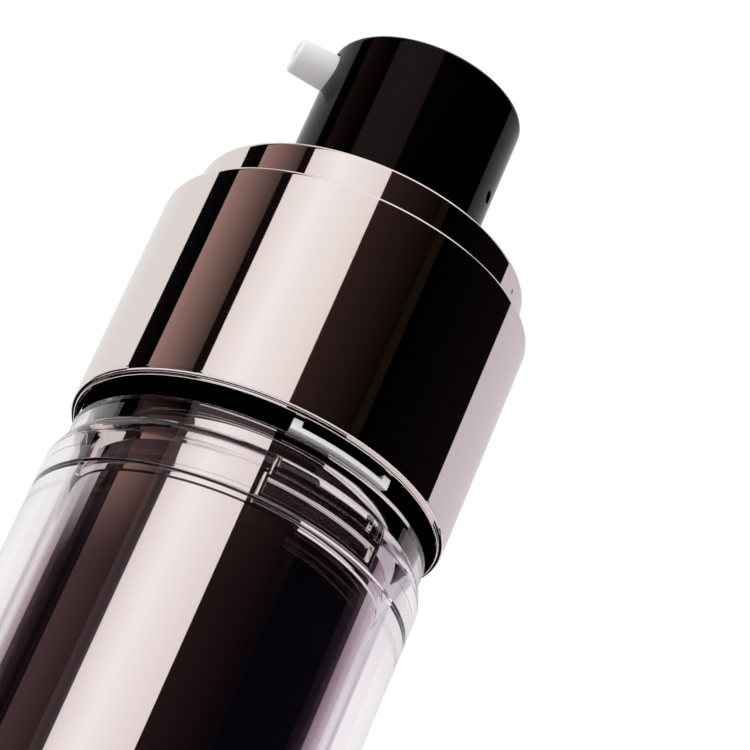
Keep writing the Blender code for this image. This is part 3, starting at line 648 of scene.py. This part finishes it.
def key(turn):
    """A white key of the closure, which shows in a notch of the sleeve. Its white is lighter than the white
    plastic's, as painted light.
    """
    name = f"closure_key_{turn + 1}"
    piece = tool(name, prism_mesh(name, key_outline(0.0, KEY_LOW), KEY_ROOT, KEY_RADIUS))
    bevelled(piece, KEY_EDGE, KEY_EDGE_STEPS)
    wrapped(piece, KEY_RADIUS, key_angle(turn))
    bpy.context.scene.collection.objects.unlink(piece)
    dress(piece, "refill", "white_plastic", LIT_KEY_WHITE)


def radial_rod(name, radius, start, end, height, angle, sides):
    """A round cutter along a radial line."""
    shape = bmesh.new()
    along = Matrix.Rotation(angle, 4, "Z") @ Matrix.Rotation(pi / 2, 4, "Y")
    middle = Vector((cos(angle), sin(angle), 0.0)) * ((start + end) / 2) + Vector((0.0, 0.0, height))
    bmesh.ops.create_cone(shape, cap_ends=True, segments=sides, radius1=radius, radius2=radius,
                          depth=end - start, matrix=Matrix.Translation(middle) @ along)
    return tool(name, mesh_of(name, shape))


def collar_lip():
    """The cut for the collar's finer foot: the corners of a box and the outline that fills it."""
    low = (COLLAR_BORE - LIP_EDGE, 0.0)
    high = (BODY_RADIUS + OVERRUN, LIP_FOOT + LIP_CUT)
    lip = (
        (BODY_RADIUS, LIP_FOOT + LIP_STEP + LIP_BEVEL),
        (BODY_RADIUS - LIP_BEVEL, LIP_FOOT + LIP_STEP),
        (COLLAR_BORE + LIP_WIDTH, LIP_FOOT + LIP_STEP),
        (COLLAR_BORE + LIP_WIDTH, LIP_FOOT + LIP_EDGE),
        (COLLAR_BORE + LIP_WIDTH - LIP_EDGE, LIP_FOOT),
        (COLLAR_BORE, LIP_FOOT),
    )
    return low, high, lip


def collar_and_sleeve():
    sleeve = turned("sleeve", "collar_sleeve", FINE_EDGE, SMALL_SIDES)
    dress(sleeve, "refill", "black_plastic", BLACK, "collar_sleeve")
    cut(sleeve, *[notch_cutter(turn) for turn in range(KEY_COUNT)])
    closure = turned("inner_closure", "closure", CLOSURE_EDGE, SMALL_SIDES)
    dress(closure, "refill", "black_plastic", BLACK, "closure")
    for turn in range(KEY_COUNT):
        key(turn)
    collar = turned("mirror_collar", "outer_collar", FINE_EDGE, cuts=(collar_lip(),))
    dress(collar, "refill", "mirror_gunmetal", MIRROR, "outer_collar")
    ring = turned("mirror_ring", "cap_ring", FINE_EDGE)
    dress(ring, "refill", "mirror_gunmetal", MIRROR, "cap_ring")
    dot = radial_rod("dot", DOT_RADIUS, RING_RADIUS - DOT_DEPTH, RING_RADIUS + OVERRUN,
                     DOT_Z, DOT_ANGLE, DOT_SIDES)
    cut(ring, dot)


# Push button and spout

DIMPLE_RADIUS = 0.0007
DIMPLE_DEPTH = 0.0004
DIMPLE_SIDES = 48
DIMPLE_ANGLE = radians(-28.0)
DIMPLE_Z = BUTTON_TOP - 0.0096
SPOUT_HOLE = 0.0022
HOLE_SIDES = 96


def button_and_spout():
    button = turned("button", "actuator_shell", HEAD_EDGE)
    dress(button, "head", "gloss_black", GLOSS_BLACK, "actuator_shell")
    past = BUTTON_RADIUS + OVERRUN
    hole = radial_rod("hole", SPOUT_HOLE, BUTTON_RADIUS / 2, past, SPOUT_Z, pi, HOLE_SIDES)
    dimple = radial_rod("dimple", DIMPLE_RADIUS, BUTTON_RADIUS - DIMPLE_DEPTH, past,
                        DIMPLE_Z, DIMPLE_ANGLE, DIMPLE_SIDES)
    cut(button, hole, dimple)
    along = Matrix.Translation((0.0, 0.0, SPOUT_Z)) @ Matrix.Rotation(-pi / 2, 4, "Y")
    spout = turned("spout", "nozzle", HEAD_EDGE, SMALL_SIDES, place=along)
    dress(spout, "head", "white_plastic", WHITE, "nozzle")


# Pump inside the neck

SPRING_TURNS = 6
WIRE_RADIUS = 0.00025
WIRE_SIDES = 12
TURN_STEPS = 36


def valve_ball(name, node, body):
    """A round ball in the place of its node."""
    low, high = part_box(node)
    shape = bmesh.new()
    middle = Matrix.Translation((low + high) / 2)
    bmesh.ops.create_uvsphere(shape, u_segments=BALL_SIDES, v_segments=BALL_SIDES // 2,
                              radius=(high.z - low.z) / 2, matrix=middle)
    mesh = mesh_of(name, shape)
    mesh.shade_smooth()
    dress(bpy.data.objects.new(name, mesh), body, "spring_steel", STEEL, node)


def coil():
    """The return spring: one round wire."""
    low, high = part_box("pump_spring")
    radius = high.x - WIRE_RADIUS
    foot = low.z + WIRE_RADIUS
    rise = high.z - low.z - 2 * WIRE_RADIUS
    count = SPRING_TURNS * TURN_STEPS
    curve = bpy.data.curves.new("coil_wire", "CURVE")
    curve.dimensions = "3D"
    curve.bevel_depth = WIRE_RADIUS
    curve.bevel_resolution = WIRE_SIDES // 4
    curve.use_fill_caps = True
    spline = curve.splines.new("POLY")
    spline.points.add(count)
    for index, point in enumerate(spline.points):
        angle = tau * index / TURN_STEPS
        point.co = (radius * cos(angle), radius * sin(angle), foot + rise * index / count, 1.0)
    guide = bpy.data.objects.new("coil_guide", curve)
    bpy.context.scene.collection.objects.link(guide)
    spring = bpy.data.objects.new("return_spring", final_mesh(guide))
    bpy.data.objects.remove(guide)
    dress(spring, "refill", "spring_steel", STEEL, "pump_spring")
    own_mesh(spring)


def pump_works():
    for name, node, body, slot, look in (
        ("pump_body", "pump_housing", "refill", "natural_plastic", NATURAL),
        ("stem_guide", "stem_retainer", "refill", "white_plastic", WHITE),
        ("plunger_stem", "stem", "plunger", "white_plastic", WHITE),
        ("plunger_seal", "pump_piston", "plunger", "natural_plastic", NATURAL),
    ):
        dress(turned(name, node, FINE_EDGE, SMALL_SIDES), body, slot, look, node)
    valve_ball("lower_ball", "inlet_ball", "inlet_valve")
    valve_ball("upper_ball", "outlet_ball", "outlet_valve")
    coil()
    for node, look in (("ball_retainer", NATURAL), ("actuator_core", WHITE)):
        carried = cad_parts[node]
        carried.data.materials.clear()
        carried.data.materials.append(look)


# Studio

TENT_RADIUS = 0.60
TENT_LOW = -0.50
TENT_HIGH = 1.20
CARD_STEP = radians(2.0)
LEVELS = ((-0.08, -0.02), (0.325, 0.375))
DARK = ((0.006, 0.004, 0.005), (0.006, 0.004, 0.005))
LIGHT = ((0.95, 0.92, 0.95), (0.95, 0.92, 0.95))
WORLD_GREY = (0.80, 0.80, 0.80, 1.0)
WORLD_WHITE = (1.0, 1.0, 1.0, 1.0)
LAMP_SIZE = 0.5
LAMP_POWER = 3.0
LAMP_PLACE = (-0.55, -0.35, 0.75)
LAMP_AIM = (0.0, 0.0, 0.12)
FLOOR_RADIUS = 0.19
FLOOR_SIDES = 128
FLOOR_COLOUR = (0.9, 0.9, 0.9)
FLOOR_ROUGHNESS = 0.8


def glow(name, bands):
    """A lit card whose colour runs across it, in bands from the lowest up."""
    look = bpy.data.materials.new(name)
    look.use_nodes = True
    tree = look.node_tree
    tree.nodes.clear()
    out = tree.nodes.new("ShaderNodeOutputMaterial")
    light = tree.nodes.new("ShaderNodeEmission")
    place = tree.nodes.new("ShaderNodeUVMap")
    split = tree.nodes.new("ShaderNodeSeparateXYZ")
    tree.links.new(place.outputs["UV"], split.inputs["Vector"])
    ramps = []
    for near, far in bands:
        ramp = tree.nodes.new("ShaderNodeValToRGB")
        ramp.color_ramp.elements[0].color = (*near, 1.0)
        ramp.color_ramp.elements[1].color = (*far, 1.0)
        tree.links.new(split.outputs["X"], ramp.inputs["Fac"])
        ramps.append(ramp.outputs["Color"])
    below = ramps[0]
    for above, (low, high) in zip(ramps[1:], LEVELS):
        rise = tree.nodes.new("ShaderNodeMapRange")
        rise.interpolation_type = "SMOOTHSTEP"
        rise.inputs["From Min"].default_value = low
        rise.inputs["From Max"].default_value = high
        tree.links.new(split.outputs["Y"], rise.inputs["Value"])
        blend = tree.nodes.new("ShaderNodeMixRGB")
        tree.links.new(rise.outputs["Result"], blend.inputs["Fac"])
        tree.links.new(below, blend.inputs["Color1"])
        tree.links.new(above, blend.inputs["Color2"])
        below = blend.outputs["Color"]
    tree.links.new(below, light.inputs["Color"])
    tree.links.new(light.outputs["Emission"], out.inputs["Surface"])
    return look


def card(name, start, end, ground, top, foot):
    """A curved studio card in three bands. Its edges are given in degrees from the camera, to the right."""
    first = VIEW_AZIMUTH + radians(start)
    last = VIEW_AZIMUTH + radians(end)
    count = ceil((last - first) / CARD_STEP)
    shape = bmesh.new()
    across = shape.loops.layers.uv.new("across")
    rows = []
    for step in range(count + 1):
        angle = first + (last - first) * step / count
        x, y = TENT_RADIUS * cos(angle), TENT_RADIUS * sin(angle)
        rows.append((shape.verts.new((x, y, TENT_LOW)), shape.verts.new((x, y, TENT_HIGH)), step / count))
    for (low_a, high_a, share_a), (low_b, high_b, share_b) in zip(rows, rows[1:]):
        face = shape.faces.new((low_a, low_b, high_b, high_a))
        for loop, share in zip(face.loops, (share_a, share_b, share_b, share_a)):
            loop[across].uv = (share, loop.vert.co.z)
    mesh = mesh_of(name, shape)
    made = bpy.data.objects.new(name, mesh)
    mesh.materials.append(glow(name, (ground, foot, top)))
    bpy.context.scene.collection.objects.link(made)
    made.visible_camera = False
    made.visible_diffuse = False
    made.visible_shadow = False


def surroundings():
    """A grey world for light, which the camera, reflections and clear pieces see as white."""
    world = bpy.data.worlds.new("studio")
    bpy.context.scene.world = world
    world.use_nodes = True
    tree = world.node_tree
    back = tree.nodes["Background"]
    back.inputs["Color"].default_value = WORLD_GREY
    back.inputs["Strength"].default_value = 1.0
    white = tree.nodes.new("ShaderNodeBackground")
    white.inputs["Color"].default_value = WORLD_WHITE
    ray = tree.nodes.new("ShaderNodeLightPath")
    seen = tree.nodes.new("ShaderNodeMath")
    seen.operation = "MAXIMUM"
    seen_too = tree.nodes.new("ShaderNodeMath")
    seen_too.operation = "MAXIMUM"
    mix = tree.nodes.new("ShaderNodeMixShader")
    tree.links.new(ray.outputs["Is Camera Ray"], seen.inputs[0])
    tree.links.new(ray.outputs["Is Glossy Ray"], seen.inputs[1])
    tree.links.new(seen.outputs[0], seen_too.inputs[0])
    tree.links.new(ray.outputs["Is Transmission Ray"], seen_too.inputs[1])
    tree.links.new(seen_too.outputs[0], mix.inputs[0])
    tree.links.new(back.outputs[0], mix.inputs[1])
    tree.links.new(white.outputs[0], mix.inputs[2])
    tree.links.new(mix.outputs[0], tree.nodes["World Output"].inputs["Surface"])


def cards():
    """The panels and flags round the bottle: name, right edge, then the colours of ground, top and foot."""
    pale = (0.84, 0.83, 0.82)
    right_pale = (0.65, 0.61, 0.66)
    left_panel = ((0.89, 0.84, 0.83), (1.05, 1.05, 1.04))
    right_panel = left_panel[::-1]
    black_foot = ((0.004, 0.003, 0.005), (0.004, 0.003, 0.005))
    start = -180.0
    for name, end, ground, top, foot in (
        ("left_grey_card", -128.0, DARK, (pale, pale), ((0.95, 0.94, 0.93), (0.90, 0.87, 0.87))),
        ("left_mauve_card", -116.0, DARK, (pale, pale), ((0.70, 0.60, 0.62), (0.38, 0.29, 0.31))),
        ("left_low_flag", -105.5, DARK, (pale, pale), black_foot),
        ("left_black_flag", -89.5, DARK, ((0.004, 0.003, 0.004), (0.001, 0.001, 0.001)), black_foot),
        ("left_brown_flag", -59.0, DARK, ((0.35, 0.22, 0.19), (0.06, 0.04, 0.035)),
         ((0.072, 0.042, 0.045), (0.030, 0.017, 0.018))),
        ("left_thin_flag", -53.0, DARK, ((0.007, 0.004, 0.004), (0.007, 0.004, 0.004)),
         ((0.020, 0.011, 0.012), (0.015, 0.009, 0.010))),
        ("light_panel_left", -33.0, DARK, left_panel, left_panel),
        ("light_panel_right", 0.0, DARK, right_panel, right_panel),
        ("right_brown_flag", 38.5, DARK, ((0.029, 0.016, 0.014), (0.004, 0.0025, 0.0025)),
         ((0.017, 0.009, 0.009), (0.004, 0.0025, 0.004))),
        ("right_thin_flag", 44.0, LIGHT, ((0.009, 0.006, 0.004), (0.009, 0.006, 0.004)),
         ((0.004, 0.0025, 0.004), (0.004, 0.0025, 0.004))),
        ("right_black_flag", 109.5, LIGHT, ((0.0003, 0.0003, 0.0003), (0.005, 0.003, 0.003)),
         ((0.002, 0.0018, 0.004), (0.003, 0.002, 0.005))),
        ("right_mauve_card", 130.0, LIGHT, ((0.62, 0.59, 0.64), right_pale),
         ((0.28, 0.19, 0.28), (0.62, 0.53, 0.62))),
        ("right_grey_card", 180.0, DARK, (right_pale, (0.72, 0.67, 0.70)),
         ((0.92, 0.89, 0.90), (0.92, 0.89, 0.90))),
    ):
        card(name, start, end, ground, top, foot)
        start = end


def lamp():
    """One soft lamp, which reflections and clear pieces don't show."""
    light = bpy.data.lights.new("soft_key", "AREA")
    light.shape = "DISK"
    light.size = LAMP_SIZE
    light.energy = LAMP_POWER
    made = bpy.data.objects.new("soft_key", light)
    bpy.context.scene.collection.objects.link(made)
    made.location = LAMP_PLACE
    made.rotation_euler = (Vector(LAMP_AIM) - made.location).to_track_quat("-Z", "Y").to_euler()
    made.visible_glossy = False
    made.visible_transmission = False


def floor():
    """A round pale floor."""
    shape = bmesh.new()
    bmesh.ops.create_circle(shape, cap_ends=True, segments=FLOOR_SIDES, radius=FLOOR_RADIUS)
    mesh = mesh_of("floor", shape)
    made = bpy.data.objects.new("floor", mesh)
    mesh.materials.append(finish("pale_floor", FLOOR_COLOUR, FLOOR_ROUGHNESS))
    bpy.context.scene.collection.objects.link(made)


def studio():
    bpy.context.scene.view_settings.view_transform = "Standard"
    surroundings()
    cards()
    lamp()
    floor()


place_camera()
shell_and_refill()
collar_and_sleeve()
button_and_spout()
pump_works()
studio()
